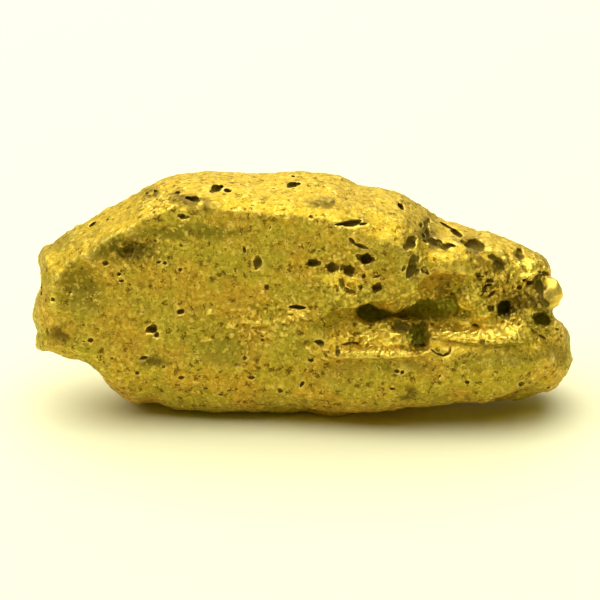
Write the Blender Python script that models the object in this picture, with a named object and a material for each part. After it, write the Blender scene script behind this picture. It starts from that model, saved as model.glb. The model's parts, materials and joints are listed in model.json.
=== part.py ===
"""A water-worn gold nugget: one solid lump that lies on the worn flat of its underside.

The body is lofted through cross-sections that fill two outlines, one seen from the front and
a little above, the other in plan. Rounded lumps are joined to it and hollows are cut out of
it, and the joins are melted together. The larger pits are cut last, so their rims stay sharp.
"""

import math
import random

import bmesh
import bpy
from mathutils import Euler, Matrix, Vector, noise
from mathutils.bvhtree import BVHTree

MM = 0.001

# Driving dimensions in millimetres. X runs along the lump, -Y is its front, +Z is up.
VIEW_TILT = math.radians(22)  # the front is read by an eye this far above the horizon
SECTIONS = 96
POINTS_ROUND = 72
UNDERSIDE = 0.22  # the height at which the belly is worn flat, before it is set on the origin
MELT_VOXEL = 0.17
TRIANGLES = 5300

# The outline seen from the front, as (along, up) in the plane that faces the eye.
TOP_OUTLINE = [
    (-12.5, 3.8), (-12.4, 4.9), (-12.2, 6.2), (-11.8, 7.1), (-11.1, 7.6), (-9.6, 8.5),
    (-8.1, 9.45), (-6.65, 10.3), (-5.6, 10.6), (-3.7, 10.7), (-1.8, 10.65), (0.0, 10.6),
    (1.5, 10.45), (3.0, 10.0), (4.1, 9.8), (4.8, 9.55), (5.5, 9.0), (6.3, 8.4),
    (7.4, 8.1), (8.5, 7.65), (9.6, 7.5), (10.7, 6.9), (11.4, 6.3), (11.7, 5.7),
    (12.1, 4.2), (12.4, 3.2), (12.5, 2.4),
]
LOW_OUTLINE = [
    (-12.5, 3.8), (-12.25, 3.0), (-11.8, 2.4), (-11.1, 2.05), (-9.8, 1.7), (-9.2, 1.1),
    (-8.0, 0.4), (-6.6, -0.1), (-5.2, -0.4), (-1.8, -0.5), (0.0, -0.55), (1.3, -0.75),
    (2.2, -0.6), (3.2, -0.3), (4.1, 0.0), (5.9, 0.05), (7.5, 0.25), (9.1, 0.2),
    (10.5, 0.2), (11.4, 0.5), (12.0, 0.95), (12.4, 1.7), (12.5, 2.4),
]
# The plan outline, as (along, across).
FRONT_OUTLINE = [
    (-12.5, -0.3), (-12.35, -1.6), (-11.9, -2.7), (-11.0, -3.5), (-9.0, -4.05), (-5.0, -4.3),
    (0.0, -4.4), (4.0, -4.3), (8.0, -3.8), (10.5, -3.2), (11.7, -2.5), (12.3, -1.6),
    (12.5, -0.4),
]
BACK_OUTLINE = [
    (-12.5, -0.3), (-12.2, 0.8), (-11.3, 1.9), (-9.0, 3.0), (-6.0, 3.9), (-2.0, 4.35),
    (2.0, 4.25), (6.0, 3.6), (9.0, 2.8), (11.0, 2.0), (12.1, 1.0), (12.5, -0.4),
]
# The middle of each cross-section, as (along, across) and (along, height).
MIDDLE_ACROSS = [(-12.5, -0.3), (-8.0, -0.2), (0.0, 0.0), (8.0, -0.3), (12.5, -0.4)]
MIDDLE_HEIGHT = [(-12.5, 4.2), (-9.0, 5.4), (-4.0, 5.6), (2.0, 5.4), (8.0, 4.2), (12.5, 2.7)]
# How square each quarter of a cross-section is: 2 is an ellipse, and more is boxier.
UPPER_FRONT, UPPER_BACK, LOWER_BACK, LOWER_FRONT = 4.0, 2.5, 2.4, 2.5

# Lumps are ellipsoids: name, centre, half sizes, turn about X, Y and Z in degrees.
FACE = ("front face", (-2.0, -13.15, 6.5), (60.0, 9.3, 20.0), (-13, 0, -4))
LUMPS = [
    ("hanging lobe", (3.9, -2.3, 7.4), (2.3, 1.55, 2.05), (0, 0, 0)),
    ("brow", (6.7, -2.3, 8.0), (2.0, 1.6, 1.0), (0, 10, 0)),
    ("outer lobe", (9.1, -0.9, 6.9), (2.4, 2.2, 1.6), (0, 18, 0)),
    ("left foot", (-10.3, -1.9, 3.8), (2.1, 1.9, 1.5), (0, 0, 0)),
    ("lower roll", (3.1, -2.6, 3.0), (8.7, 2.2, 2.25), (0, -3, -4)),
    ("nose", (10.9, -1.5, 2.7), (1.6, 2.1, 1.6), (0, 0, 0)),
]
# Hollows are ellipsoids that sink in where the eye sees them: name, (along, up) in the plane
# that faces the eye, half sizes across, inward and up, turn in that plane in degrees, sink.
HOLLOWS = [
    ("thumb dish", (-10.1, 5.2), (1.7, 2.6, 2.2), 15, -2.2),
    ("cavity", (5.0, 4.3), (2.6, 2.4, 0.5), 2, 0.4),
    ("cavity end", (3.2, 4.15), (0.75, 1.6, 0.55), -10, 0.2),
    ("cavity mouth", (6.4, 4.35), (1.2, 1.8, 0.6), 8, 0.2),
    ("slot", (5.3, 3.1), (0.35, 1.6, 0.8), 0, 0.0),
    ("vug", (6.5, 5.2), (1.25, 0.9, 0.7), 0, 0.0),
    ("crease", (7.4, 7.4), (1.9, 0.6, 0.25), -38, 0.0),
    ("deep hole", (9.2, 4.3), (0.55, 1.0, 0.5), 0, 0.3),
    ("seat of the bead", (11.4, 5.1), (1.0, 1.7, 0.75), 0, 0.3),
    ("hollow under the bead", (11.0, 3.9), (0.7, 1.0, 0.45), 0, 0.2),
    ("right notch", (12.4, 4.1), (0.95, 4.0, 0.4), 0, 0.5),
    ("left notch", (-12.3, 5.5), (0.4, 1.6, 0.25), 0, 0.0),
]
# Hollows with level or rising floors, and those of the rear, placed as the lumps are.
LEVEL_HOLLOWS = [
    ("ledge", (3.4, -4.45, 5.15), (3.1, 1.6, 0.7), (40, 0, 0)),
    ("shelf", (8.0, -4.1, 5.35), (3.0, 1.4, 0.7), (28, -3, 0)),
    ("right face", (9.9, -4.9, 6.7), (2.6, 2.1, 2.0), (12, 0, 0)),
    ("rear dish", (-4.5, 7.1, 6.3), (4.6, 3.2, 2.8), (0, 10, 8)),
    ("rear groove", (5.5, 5.3, 5.2), (3.4, 1.8, 0.8), (10, 14, -12)),
    ("rear hole", (1.0, 5.1, 3.4), (0.7, 1.1, 0.5), (0, -20, 0)),
]
# Lumps that hang over the hollows, joined after them.
OVERHANGS = [
    ("lip of the lobe", (4.05, -2.85, 6.95), (1.6, 1.05, 1.15), (0, 0, 0)),
    ("arch of the vug", (7.55, -2.6, 6.75), (0.45, 0.9, 1.1), (0, 15, 0)),
    ("crumb beside the hole", (8.3, -3.0, 5.9), (0.5, 0.6, 0.45), (0, 20, 0)),
    ("crumb under the bead", (10.6, -2.4, 6.1), (0.5, 0.6, 0.35), (0, 30, 0)),
]
BEAD = ("bead", (11.45, -2.0, 6.3), (0.57, 0.57, 0.57), (0, 0, 0))
BEAD_STEM = ("bead stem", (11.1, -1.1, 5.8), (0.35, 1.1, 0.45), (-30, 0, 20))
# Swells of the skin: how far apart they are, and how high.
SWELLS = [(3.4, 0.2), (1.3, 0.1)]
# Pits: (along, up) as the eye sees them, half width, half height, turn, half depth.
PITS = [
    (-3.9, 9.8, 0.25, 0.21, 30, 0.35), (-4.9, 9.3, 0.28, 0.13, -8, 0.3),
    (-0.4, 10.0, 0.23, 0.13, 0, 0.3), (-5.7, 9.6, 0.21, 0.11, 0, 0.25),
    (2.3, 8.2, 0.53, 0.14, 8, 0.5), (4.5, 9.0, 0.12, 0.22, 30, 0.3),
    (5.7, 7.9, 0.18, 0.62, 5, 0.5), (6.2, 7.1, 0.58, 0.23, -15, 0.5),
    (4.9, 7.3, 0.26, 0.3, 0, 0.4), (5.0, 6.2, 0.22, 0.51, -10, 0.5),
    (7.8, 7.2, 0.46, 0.4, -20, 0.5), (2.9, 6.6, 0.28, 0.25, 20, 0.4),
    (2.2, 6.0, 0.23, 0.23, 0, 0.4), (1.4, 6.2, 0.18, 0.23, 15, 0.3),
    (0.5, 6.4, 0.21, 0.18, 0, 0.3), (-2.0, 6.4, 0.18, 0.23, 0, 0.3),
    (2.1, 5.4, 0.32, 0.22, -35, 0.4), (3.4, 5.3, 0.21, 0.21, 0, 0.3),
    (8.9, 6.4, 0.22, 0.4, 40, 0.4), (10.1, 6.7, 0.25, 0.23, 0, 0.35),
    (10.5, 5.5, 0.42, 0.23, 10, 0.4), (8.4, 5.3, 0.28, 0.28, 0, 0.4),
    (10.1, 0.9, 0.3, 0.14, 0, 0.25), (-6.8, 3.4, 0.25, 0.18, -20, 0.35),
    (-5.5, 4.2, 0.18, 0.13, 0, 0.25), (-0.2, 4.4, 0.42, 0.12, 0, 0.3),
    (0.8, 2.8, 0.18, 0.14, 0, 0.25), (4.3, 1.5, 0.21, 0.12, 0, 0.25),
    (8.1, 2.9, 0.18, 0.21, 0, 0.25), (11.1, 3.2, 0.25, 0.2, 20, 0.3),
    (-7.9, 6.9, 0.5, 0.3, 0, 0.25), (-11.1, 3.2, 0.45, 0.2, 0, 0.2),
]
# Pits of the rear and the underside, which are scattered.
REAR_PITS, REAR_SPACING, SEED = 16, 2.2, 5


def smooth_line(points, steps=12):
    """A Catmull-Rom curve through the points, as a fine polyline."""
    ends = [points[0], *points, points[-1]]
    line = []
    for before, start, stop, after in zip(ends, ends[1:], ends[2:], ends[3:]):
        for i in range(steps):
            t = i / steps
            line.append(tuple(
                0.5 * (2 * b + (c - a) * t + (2 * a - 5 * b + 4 * c - d) * t * t
                       + (3 * b - a - 3 * c + d) * t ** 3)
                for a, b, c, d in zip(before, start, stop, after)
            ))
    return [*line, tuple(points[-1])]


def height_at(line, x):
    """The second value of a polyline where its first value is x."""
    for (x0, y0), (x1, y1) in zip(line, line[1:]):
        if x0 <= x <= x1 and x1 > x0:
            return y0 + (y1 - y0) * (x - x0) / (x1 - x0)
    return line[-1][1] if x > line[-1][0] else line[0][1]


def half_height(reach, across, squareness):
    """How tall a quarter section is, if the outline that the eye sees stands reach from its middle."""
    m = squareness / (squareness - 1)
    left = max(reach, 0.02) ** m - (across * math.sin(VIEW_TILT)) ** m
    return max(left, 0.0004) ** (1 / m) / math.cos(VIEW_TILT)


def section_maker():
    """A function that gives the ring of points round the body at a place along it."""
    lines = [smooth_line(points) for points in (
        TOP_OUTLINE, LOW_OUTLINE, FRONT_OUTLINE, BACK_OUTLINE, MIDDLE_ACROSS, MIDDLE_HEIGHT)]

    def ring(x):
        top, low, front, back, y_mid, z_mid = (height_at(line, x) for line in lines)
        seen = z_mid * math.cos(VIEW_TILT) + y_mid * math.sin(VIEW_TILT)
        front, back = y_mid - front, back - y_mid
        up = half_height(top - seen, back, UPPER_BACK)
        down = half_height(seen - low, front, LOWER_FRONT)
        points = []
        for i in range(POINTS_ROUND):
            turn = 2 * math.pi * i / POINTS_ROUND
            y, z = math.cos(turn), math.sin(turn)
            if z >= 0:
                n = UPPER_BACK if y >= 0 else UPPER_FRONT
            else:
                n = LOWER_BACK if y >= 0 else LOWER_FRONT
            y = math.copysign(abs(y) ** (2 / n), y)
            z = math.copysign(abs(z) ** (2 / n), z)
            points.append(Vector((
                x, y_mid + y * (back if y >= 0 else front), z_mid + z * (up if z >= 0 else down))))
        return points

    return ring


def lofted_body(name):
    """The body as rings of points, close together at the blunt ends, bridged and capped."""
    ring = section_maker()
    start, stop = TOP_OUTLINE[0][0], TOP_OUTLINE[-1][0]
    shape = bmesh.new()
    rings = []
    for i in range(SECTIONS):
        share = (1 - math.cos(math.pi * (i + 0.5) / SECTIONS)) / 2
        rings.append([shape.verts.new(p * MM) for p in ring(start + share * (stop - start))])
    for one, two in zip(rings, rings[1:]):
        for i in range(POINTS_ROUND):
            j = (i + 1) % POINTS_ROUND
            shape.faces.new((one[i], one[j], two[j], two[i]))
    shape.faces.new(rings[0])
    shape.faces.new(reversed(rings[-1]))
    bmesh.ops.recalc_face_normals(shape, faces=shape.faces)
    return as_object(name, shape)


def as_object(name, shape):
    mesh = bpy.data.meshes.new(name)
    shape.to_mesh(mesh)
    shape.free()
    thing = bpy.data.objects.new(name, mesh)
    bpy.context.scene.collection.objects.link(thing)
    return thing


def ellipsoid(name, centre, half_sizes, turn):
    turned = Euler([math.radians(a) for a in turn]).to_matrix()
    return ellipsoid_at(name, Vector(centre), half_sizes, turned)


def ellipsoid_at(name, centre, half_sizes, turned, fineness=4):
    shape = bmesh.new()
    bmesh.ops.create_icosphere(shape, subdivisions=fineness, radius=1)
    sizes = Matrix.Diagonal((*half_sizes, 1))
    placed = Matrix.Scale(MM, 4) @ Matrix.Translation(centre) @ turned.to_4x4() @ sizes
    bmesh.ops.transform(shape, matrix=placed, verts=shape.verts)
    return as_object(name, shape)


def eye_axes():
    """Across, inward and up for the eye, as the columns of a matrix."""
    c, s = math.cos(VIEW_TILT), math.sin(VIEW_TILT)
    return Matrix(((1, 0, 0), (0, c, s), (0, -s, c)))


def seen_point(skin, along, up):
    """Where the eye's line through a point of its plane meets the skin."""
    axes = eye_axes()
    start = axes @ Vector((along, -40, up))
    hit = skin.ray_cast(start * MM, axes @ Vector((0, 1, 0)))[0]
    return hit / MM if hit else axes @ Vector((along, -1.0, up))


def sunk_hollows(thing, hollows):
    skin = BVHTree.FromObject(thing, bpy.context.evaluated_depsgraph_get())
    axes = eye_axes()
    return [
        ellipsoid_at(
            name, seen_point(skin, *spot) + axes @ Vector((0, sink, 0)), half_sizes,
            axes @ Matrix.Rotation(math.radians(-turn), 3, "Y"))
        for name, spot, half_sizes, turn, sink in hollows
    ]


def pit_cutters(thing):
    """A pebble of a shape for each pit, half sunk in the skin and each turned its own way."""
    skin = BVHTree.FromObject(thing, bpy.context.evaluated_depsgraph_get())
    axes = eye_axes()
    cutters = []
    for i, (along, up, half_width, half_height, turn, half_depth) in enumerate(PITS):
        turned = axes @ Matrix.Rotation(math.radians(-turn), 3, "Y")
        cutters.append(ellipsoid_at(
            f"pit {i}", seen_point(skin, along, up), (half_width, half_depth, half_height),
            turned, fineness=2))
    return cutters


def rear_pit_cutters(thing):
    """Pits of mixed sizes, scattered over what the eye does not see and clear of the flat."""
    pick = random.Random(SEED)
    away = eye_axes() @ Vector((0, 1, 0))
    spots = [v for v in thing.data.vertices
             if v.normal.dot(away) > 0.25 and v.co.z > 0.7 * MM]
    chosen = []
    while len(chosen) < REAR_PITS:
        spot = pick.choice(spots)
        if all((spot.co - other.co).length > REAR_SPACING * MM for other in chosen):
            chosen.append(spot)
    cutters = []
    for i, spot in enumerate(chosen):
        size = pick.uniform(0.15, 0.4)
        turned = spot.normal.to_track_quat("Z", "Y").to_matrix()
        turned = turned @ Matrix.Rotation(pick.uniform(0, math.pi), 3, "Z")
        half_sizes = (size, size * pick.uniform(0.5, 1), size)
        cutters.append(ellipsoid_at(f"rear pit {i}", spot.co / MM, half_sizes, turned, fineness=2))
    return cutters


def swell(thing):
    """Raises and lowers the skin by a few hundredths to tenths of a millimetre."""
    moves = []
    for vertex in thing.data.vertices:
        p = vertex.co / MM
        height = sum(size * noise.noise(p / apart) for apart, size in SWELLS)
        moves.append(vertex.normal * height * MM)
    for vertex, move in zip(thing.data.vertices, moves):
        vertex.co += move


def settle(thing):
    """Makes the object's mesh what its modifiers give, and takes the modifiers off."""
    graph = bpy.context.evaluated_depsgraph_get()
    mesh = bpy.data.meshes.new_from_object(thing.evaluated_get(graph), depsgraph=graph)
    thing.modifiers.clear()
    thing.data = mesh


def boolean(thing, others, operation):
    for other in others:
        step = thing.modifiers.new(other.name, "BOOLEAN")
        step.operation = operation
        step.object = other
        step.solver = "EXACT"
    settle(thing)
    for other in others:
        bpy.data.objects.remove(other)


def melt(thing, voxel, passes):
    """One even skin over everything, with its joins and edges softened."""
    remesh = thing.modifiers.new("skin", "REMESH")
    remesh.mode = "VOXEL"
    remesh.voxel_size = voxel * MM
    smooth = thing.modifiers.new("soften", "SMOOTH")
    smooth.factor = 0.5
    smooth.iterations = passes
    settle(thing)


def flat_underside(thing):
    """Cuts the lump off level, to leave the worn flat that it rests on."""
    shape = bmesh.new()
    shape.from_mesh(thing.data)
    everything = [*shape.verts, *shape.edges, *shape.faces]
    cut = bmesh.ops.bisect_plane(
        shape, geom=everything, dist=0.0, plane_co=(0, 0, UNDERSIDE * MM), plane_no=(0, 0, -1),
        clear_outer=True)
    rim = [e for e in cut["geom_cut"] if isinstance(e, bmesh.types.BMEdge)]
    bmesh.ops.holes_fill(shape, edges=rim)
    shape.to_mesh(thing.data)
    shape.free()


def worn_gold():
    """Soft yellow metal, dulled by fine wear."""
    gold = bpy.data.materials.new("gold")
    gold.use_nodes = True
    shader = gold.node_tree.nodes["Principled BSDF"]
    shader.inputs["Base Color"].default_value = (0.62, 0.42, 0.045, 1)
    shader.inputs["Metallic"].default_value = 1
    shader.inputs["Roughness"].default_value = 0.5
    return gold


def set_on_origin(thing):
    """Moves the mesh until the origin is at the middle of the bottom of its outer box."""
    corners = [Vector(corner) for corner in thing.bound_box]
    low, high = corners[0], corners[6]
    thing.data.transform(Matrix.Translation(-Vector((*(low + high).xy / 2, low.z))))


def thin_out(thing, triangles):
    faces = sum(len(p.vertices) - 2 for p in thing.data.polygons)
    step = thing.modifiers.new("thin out", "DECIMATE")
    step.ratio = triangles / faces
    settle(thing)


def main():
    for old in list(bpy.data.objects):
        bpy.data.objects.remove(old)
    nugget = lofted_body("nugget")
    boolean(nugget, [ellipsoid(*FACE)], "DIFFERENCE")
    boolean(nugget, [ellipsoid(*lump) for lump in LUMPS], "UNION")
    boolean(nugget, [ellipsoid(*hollow) for hollow in LEVEL_HOLLOWS], "DIFFERENCE")
    boolean(nugget, sunk_hollows(nugget, HOLLOWS), "DIFFERENCE")
    late = [*OVERHANGS, BEAD, BEAD_STEM]
    boolean(nugget, [ellipsoid(*lump) for lump in late], "UNION")
    melt(nugget, MELT_VOXEL, 2)
    swell(nugget)
    thin_out(nugget, TRIANGLES)
    flat_underside(nugget)
    boolean(nugget, pit_cutters(nugget) + rear_pit_cutters(nugget), "DIFFERENCE")
    set_on_origin(nugget)
    nugget.data.materials.append(worn_gold())


main()
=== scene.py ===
# %% [markdown]
# # A water-worn gold nugget
#
# The solid model of the nugget has its outline, lobes, ledge and larger pits, but its skin is
# plain. This notebook gives it the skin of native gold: crusty, grainy metal, full of small
# pits with dark dirt in them, and rubbed bright where it stands proud.

# %% Load the solid model
import json
import math
import random

import bpy
import numpy as np
from mathutils import Matrix, Vector
from mathutils.bvhtree import BVHTree

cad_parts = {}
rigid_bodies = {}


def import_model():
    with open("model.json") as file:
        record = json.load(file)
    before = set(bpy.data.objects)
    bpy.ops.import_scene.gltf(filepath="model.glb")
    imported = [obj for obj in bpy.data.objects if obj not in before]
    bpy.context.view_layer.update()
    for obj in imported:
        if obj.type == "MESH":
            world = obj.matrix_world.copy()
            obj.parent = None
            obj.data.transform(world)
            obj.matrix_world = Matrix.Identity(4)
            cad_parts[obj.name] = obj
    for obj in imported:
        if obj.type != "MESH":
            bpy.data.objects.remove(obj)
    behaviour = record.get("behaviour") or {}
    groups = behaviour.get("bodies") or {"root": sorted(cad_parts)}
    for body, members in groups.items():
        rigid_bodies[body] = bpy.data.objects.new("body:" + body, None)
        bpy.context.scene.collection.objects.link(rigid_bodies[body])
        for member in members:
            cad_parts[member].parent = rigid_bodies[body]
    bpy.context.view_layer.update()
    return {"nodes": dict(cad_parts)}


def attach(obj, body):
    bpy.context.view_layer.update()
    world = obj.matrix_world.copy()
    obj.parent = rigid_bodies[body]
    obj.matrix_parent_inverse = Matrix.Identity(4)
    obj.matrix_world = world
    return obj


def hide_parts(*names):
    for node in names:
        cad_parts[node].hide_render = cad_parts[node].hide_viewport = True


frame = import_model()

core = frame["nodes"]["nugget"]

# %% [markdown]
# ## The line of sight
#
# Every mark on the front is given as a distance along the nugget and a distance up, in
# millimetres, in the plane that faces an eye 22 degrees above the table. That is how a jeweller
# would map it under a loupe. These few lines turn such a mark into a point of the skin.

# %% Sight lines
MM = 0.001
EYE_TILT = math.radians(22)
COS, SIN = math.cos(EYE_TILT), math.sin(EYE_TILT)
ACROSS, INWARD, UPWARD = Vector((1, 0, 0)), Vector((0, COS, -SIN)), Vector((0, SIN, COS))
EYE_AXES = Matrix((ACROSS, INWARD, UPWARD)).transposed()
MARKS_FROM = 0.07  # the height, in that plane, from which the marks are measured


def in_space(along, inward, up):
    """A point in millimetres, from its three distances in the eye's own axes."""
    return ACROSS * along + INWARD * inward + UPWARD * up


def seen_spot(skin, along, up):
    """Where the sight line through a mark meets the skin, and the skin's normal there."""
    return skin.ray_cast(in_space(along, -40, up + MARKS_FROM), INWARD)[:2]


print("the eye looks along", tuple(round(v, 3) for v in INWARD))

# %% [markdown]
# ## Small workshop helpers
#
# Operators act on whatever is selected, so each step starts by selecting only its own piece.

# %% Helpers
def select_only(*things):
    """Selects these things alone and makes the first of them active."""
    bpy.ops.object.select_all(action="DESELECT")
    for thing in things:
        thing.select_set(True)
    bpy.context.view_layer.objects.active = things[0]


def apply_modifier(thing, kind, **settings):
    """Adds a modifier, sets it and applies it."""
    step = thing.modifiers.new(kind.lower(), kind)
    for name, value in settings.items():
        setattr(step, name, value)
    select_only(thing)
    bpy.ops.object.modifier_apply(modifier=step.name)


def resize(thing, factor):
    """Scales the mesh itself, about the origin."""
    select_only(thing)
    thing.scale = (factor,) * 3
    bpy.ops.object.transform_apply(location=False, rotation=False, scale=True)


def points_of(thing):
    """The place of each vertex, as an array."""
    return np.array([v.co[:] for v in thing.data.vertices])


def skin_of(thing):
    """A tree of the thing's faces, which answers rays and finds nearest points fast."""
    return BVHTree.FromObject(thing, bpy.context.evaluated_depsgraph_get())


# %% [markdown]
# ## An even skin to work on
#
# The solid's faces are of all sizes. A voxel remesh gives a skin of small, even squares, which
# takes relief well. The copy is worked at a thousand times its size, so that one unit is one
# millimetre and the finest grid is allowed, and it is brought back at the end.

# %% Copy, merge and remesh
VOXEL = 0.16
nugget = core.copy()
nugget.data = core.data.copy()
nugget.name = nugget.data.name = "gold_nugget"
bpy.context.scene.collection.objects.link(nugget)
nugget.parent = None
nugget.data.materials.clear()
select_only(nugget)
bpy.ops.object.mode_set(mode="EDIT")
bpy.ops.mesh.select_all(action="SELECT")
bpy.ops.mesh.remove_doubles(threshold=1e-7)
bpy.ops.object.mode_set(mode="OBJECT")
resize(nugget, 1 / MM)
apply_modifier(nugget, "REMESH", mode="VOXEL", voxel_size=VOXEL)
print("even skin:", len(nugget.data.polygons), "squares")

# %% [markdown]
# The front has the finest crumbs and pits, so its squares are quartered. Smoothing then takes
# away the stairs that voxels leave.

# %% Quarter the squares of the front
for polygon in nugget.data.polygons:
    polygon.select = polygon.center.dot(INWARD) < 0.6 and polygon.center.z > 0.15
bpy.ops.object.mode_set(mode="EDIT")
bpy.ops.mesh.select_mode(type="FACE")
bpy.ops.mesh.subdivide(number_cuts=1)
bpy.ops.object.mode_set(mode="OBJECT")
apply_modifier(nugget, "SMOOTH", factor=0.5, iterations=7)
print("fine skin:", len(nugget.data.polygons), "faces")

# %% [markdown]
# ## Soft-edged patches
#
# Much of what follows happens in places: crusty here, rubbed there. Each place is an oval seen
# along the line of sight, as (along, up, half width, half height, turn). A vertex has weight 1
# in its middle and 0 outside it, and a vertex group hands the weights to a modifier.

# %% Oval weights
def oval_weights(points, patches):
    """How deep each point is in the nearest patch, from 0 at its edge to 1 at its middle."""
    along = points[:, 0]
    up = points @ np.array(UPWARD) - MARKS_FROM
    best = np.zeros(len(points))
    for x, v, half_width, half_height, turn in patches:
        c, s = math.cos(math.radians(turn)), math.sin(math.radians(turn))
        across = ((along - x) * c + (up - v) * s) / half_width
        over = ((up - v) * c - (along - x) * s) / half_height
        best = np.maximum(best, np.clip(1.6 * (1 - np.hypot(across, over)), 0, 1))
    return best


def add_weights(thing, name, weights):
    """Stores one weight for each vertex in a new vertex group."""
    group = thing.vertex_groups.new(name=name)
    for index, weight in enumerate(weights):
        if weight > 0.01:
            group.add([index], float(weight), "REPLACE")


# %% [markdown]
# The solid has the nugget's outline to about half a millimetre. The last of it is done here, as
# a thumb would do it in clay: a few ovals of the skin are moved along, outward and up. A nudge of
# a feature in front leaves the back alone, so each also says at which depths it works.

# %% Nudge the outline
ALL_THROUGH, FRONT_ONLY, BACK_ONLY = (98, 99), (-4, -2), (-1.5, -4)  # depths of full, no weight
NUDGES = [
    # an oval, at which depths, then how far along, outward to the eye and up it moves
    ((9.9, 7.2, 1.7, 1.1, -20), ALL_THROUGH, 0, 0, -0.2),  # the top of the outer lobe
    ((12.0, 3.85, 0.9, 0.5, 0), FRONT_ONLY, -0.45, 0, 0),  # the notch under the bead
    ((12.1, 5.2, 0.5, 0.6, 0), FRONT_ONLY, -0.12, 0, 0),  # the outside of the bead
    ((12.3, 4.8, 1.7, 1.9, 0), BACK_ONLY, -0.6, 0, 0),  # the end behind them
    ((-12.1, 6.6, 0.9, 0.8, 0), ALL_THROUGH, -0.2, 0, 0.15),  # the corner of the rounded end
    ((-12.3, 1.9, 2.2, 2.2, 0), ALL_THROUGH, 0.15, 0, 0.1),  # the underside of the end lobe
    ((-11.1, 0.9, 2.2, 1.7, -8), ALL_THROUGH, 0.05, 0, 0.62),
    ((-8.3, 0.2, 1.7, 1.4, -30), ALL_THROUGH, 0, 0, -0.4),  # the flank behind it
    ((12.0, 0.3, 2.2, 1.9, 20), ALL_THROUGH, 0, 0, 0.22),  # the chin of the nose
    ((7.9, 2.95, 3.1, 0.5, -3), FRONT_ONLY, 0, 0.5, 0.05),  # the edge of the shelf
    ((6.6, 3.55, 1.8, 0.4, -3), FRONT_ONLY, 0, -0.15, 0),  # the back of the shelf
    ((3.2, 2.15, 3.2, 0.4, 1), FRONT_ONLY, 0, 0.35, 0.05),  # the rim of the ledge
]
for number, (oval, (full, none), across, outward, over) in enumerate(NUDGES):
    name = f"nudge {number}"
    points = points_of(nugget)
    weights = oval_weights(points, [oval])
    weights *= np.clip((none - points @ np.array(INWARD)) / (none - full), 0, 1)
    add_weights(nugget, name, weights**2 * (3 - 2 * weights))
    for axis, shift in (("X", across), ("Y", -outward), ("Z", over / COS)):
        if shift:
            apply_modifier(nugget, "DISPLACE", direction=axis, strength=shift, mid_level=0,
                           vertex_group=name)
apply_modifier(nugget, "SMOOTH", factor=0.5, iterations=4)
low, high = points_of(nugget).min(0), points_of(nugget).max(0)
print("box after the nudges:", low.round(2), high.round(2))

# %% [markdown]
# ## Where the skin is crusty and where it is rubbed smooth
#
# The pitted end and the ledge kept the rough crust that gold has in its vein. The dish at the
# rounded end and a few facets were rubbed smooth by gravel. Patches mark both.

# %% Patches
CRUSTY = [
    (9.6, 4.4, 3.0, 2.6, 0), (3.6, 2.9, 2.9, 0.9, 0), (8.0, 3.1, 2.9, 0.7, 0),
    (7.9, 5.0, 1.2, 1.0, 0), (1.8, 5.6, 2.2, 1.6, -20), (5.7, 4.4, 2.2, 0.8, 0),
    (-1.5, 3.6, 2.8, 1.4, 20), (-7.2, 6.7, 1.6, 0.9, 0), (-6.4, 9.0, 1.2, 0.8, 0),
]
DISH = [(-10.0, 5.1, 1.3, 1.6, 10), (-9.0, 6.9, 1.4, 0.6, 35), (-5.2, 7.6, 3.6, 0.5, 0)]
RUBBED = [
    (3.9, 6.3, 1.0, 1.4, 0),
    (9.0, 2.0, 3.0, 0.8, 0), (1.5, 1.0, 2.4, 1.0, 0), (-3.6, 2.2, 1.8, 1.0, 0),
    (4.6, 1.5, 2.2, 0.5, 0), (3.6, 4.7, 1.3, 0.4, 0), (-11.0, 7.4, 1.6, 1.2, 40),
    (11.6, 1.8, 0.8, 1.0, 0),
]
BEAD = [(11.5, 4.9, 1.1, 1.1, 0)]


def normals_of(thing):
    """The smooth normal at each vertex, as an array."""
    return np.array([v.normal[:] for v in thing.data.vertices])


def front_weights(points, normals, patches, elsewhere):
    """The patches where they face the eye. Round the back their mirror image stands in for them."""
    facing = np.clip(-4 * (normals @ np.array(INWARD)), 0, 1)
    mirrored = oval_weights(points * (-1, 1, 1), patches)
    back = elsewhere + 0.6 * (1 - elsewhere) * mirrored
    return facing * oval_weights(points, patches) + (1 - facing) * back


points, normals = points_of(nugget), normals_of(nugget)
crust = front_weights(points, normals, CRUSTY, 0.3)
crust *= 1 - front_weights(points, normals, BEAD, 0)
rubbed_and_shaded = front_weights(points, normals, DISH + RUBBED + BEAD, 0.1)
print("crusty vertices:", int((crust > 0.5).sum()), "of", len(points))

# %% [markdown]
# The weights go into vertex groups, which a modifier can read: one for the relief all over, one
# for the dents of the back and one for the crumbs of the crust. The flat underneath has none, so
# it stays flat.

# %% Weigh the relief
off_the_table = np.clip((points[:, 2] - 0.03) / 0.4, 0, 1)
depth_of_relief = np.clip(0.38 + 0.62 * crust - 0.3 * rubbed_and_shaded, 0.08, 1)
add_weights(nugget, "relief", depth_of_relief * off_the_table)
turned_away = np.clip(2 * (normals @ np.array(INWARD)) - 0.2, 0, 1)
add_weights(nugget, "back dents", turned_away * off_the_table)
add_weights(nugget, "crumbs", np.clip(crust * 1.2 - 0.1, 0, 1) * off_the_table)

# %% [markdown]
# ## Relief
#
# Several sizes of relief lie over each other, as they do on real gold: wide dents where the back
# was knocked about, soft dents a millimetre across, crumbs and hollows half a millimetre across,
# two sizes of finer crumbs on the crust alone, and a grain. Displace modifiers press them in.

# %% Press in the relief
def relief(thing, kind, size, height, group="relief", mid=0.5, **settings):
    """Moves the skin in and out by a procedural pattern, with its size in millimetres."""
    pattern = bpy.data.textures.new(f"{kind.lower()} {size}", kind)
    pattern.noise_scale = size
    for name, value in settings.items():
        setattr(pattern, name, value)
    apply_modifier(
        thing, "DISPLACE", texture=pattern, texture_coords="LOCAL", direction="NORMAL",
        strength=height, mid_level=mid, vertex_group=group)


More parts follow.
